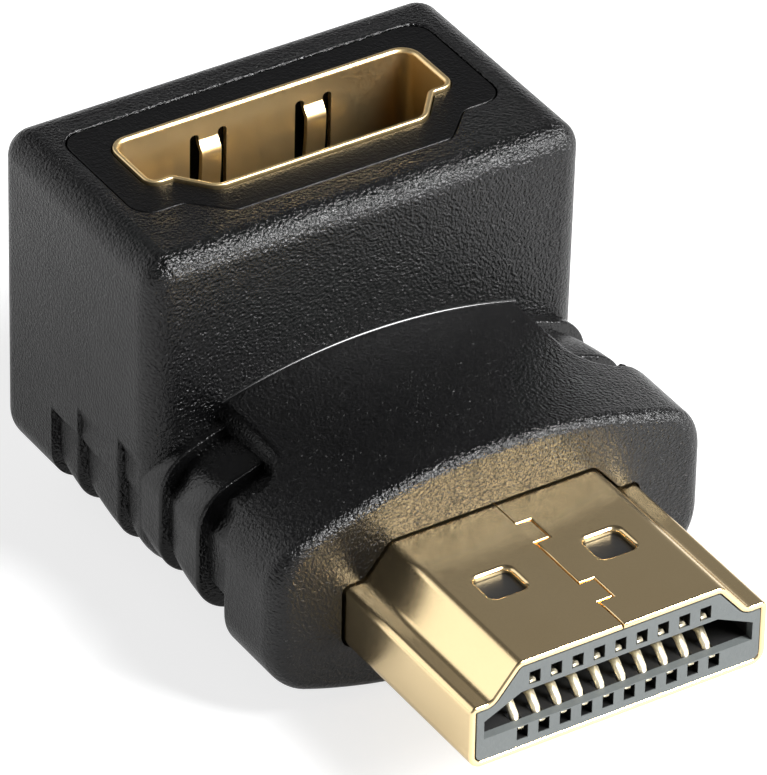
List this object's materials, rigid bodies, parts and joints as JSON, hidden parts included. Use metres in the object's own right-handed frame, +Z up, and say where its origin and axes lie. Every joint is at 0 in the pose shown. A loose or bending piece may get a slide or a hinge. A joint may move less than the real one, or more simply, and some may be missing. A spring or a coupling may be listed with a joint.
{
  "type": "right angle video adapter",
  "caption": "L-shaped moulded adapter with a flat D-outline video plug on its arm and the matching socket in the top of its block, turned a right angle to it.",
  "frame": {"origin": "on the resting plane, under the middle of the overall length and width", "axes": "+X across the width, -Y the way the plug points, +Z up, the way the socket opens"},
  "size_m": [0.0206, 0.0306, 0.0169],
  "materials": {
    "soft_black_plastic": "fine pebble grain, semi-matt",
    "smooth_black_plastic": "smooth, semi-matt",
    "carrier_black_plastic": "smooth",
    "cap_grey_plastic": "smooth, semi-matt",
    "shell_gold": "thin gold plating on folded sheet, satin",
    "contact_gold": "gold plated",
    "board_green": "coated circuit board"
  },
  "bodies": {
    "root": {"overmould": "soft_black_plastic", "inner_moulding": "smooth_black_plastic", "plug_shell": "shell_gold", "plug_front_cap": "cap_grey_plastic", "plug_contact_carrier": "carrier_black_plastic", "circuit_board": "board_green", "socket_shell": "shell_gold", "socket_tongue": "carrier_black_plastic", "plug_contact_01": "contact_gold", "plug_contact_02": "contact_gold", "plug_contact_03": "contact_gold", "plug_contact_04": "contact_gold", "plug_contact_05": "contact_gold", "plug_contact_06": "contact_gold", "plug_contact_07": "contact_gold", "plug_contact_08": "contact_gold", "plug_contact_09": "contact_gold", "plug_contact_10": "contact_gold", "plug_contact_11": "contact_gold", "plug_contact_12": "contact_gold", "plug_contact_13": "contact_gold", "plug_contact_14": "contact_gold", "plug_contact_15": "contact_gold", "plug_contact_16": "contact_gold", "plug_contact_17": "contact_gold", "plug_contact_18": "contact_gold", "plug_contact_19": "contact_gold", "socket_contact_01": "contact_gold", "socket_contact_02": "contact_gold", "socket_contact_03": "contact_gold", "socket_contact_04": "contact_gold", "socket_contact_05": "contact_gold", "socket_contact_06": "contact_gold", "socket_contact_07": "contact_gold", "socket_contact_08": "contact_gold", "socket_contact_09": "contact_gold", "socket_contact_10": "contact_gold", "socket_contact_11": "contact_gold", "socket_contact_12": "contact_gold", "socket_contact_13": "contact_gold", "socket_contact_14": "contact_gold", "socket_contact_15": "contact_gold", "socket_contact_16": "contact_gold", "socket_contact_17": "contact_gold", "socket_contact_18": "contact_gold", "socket_contact_19": "contact_gold"}
  },
  "joints": []
}
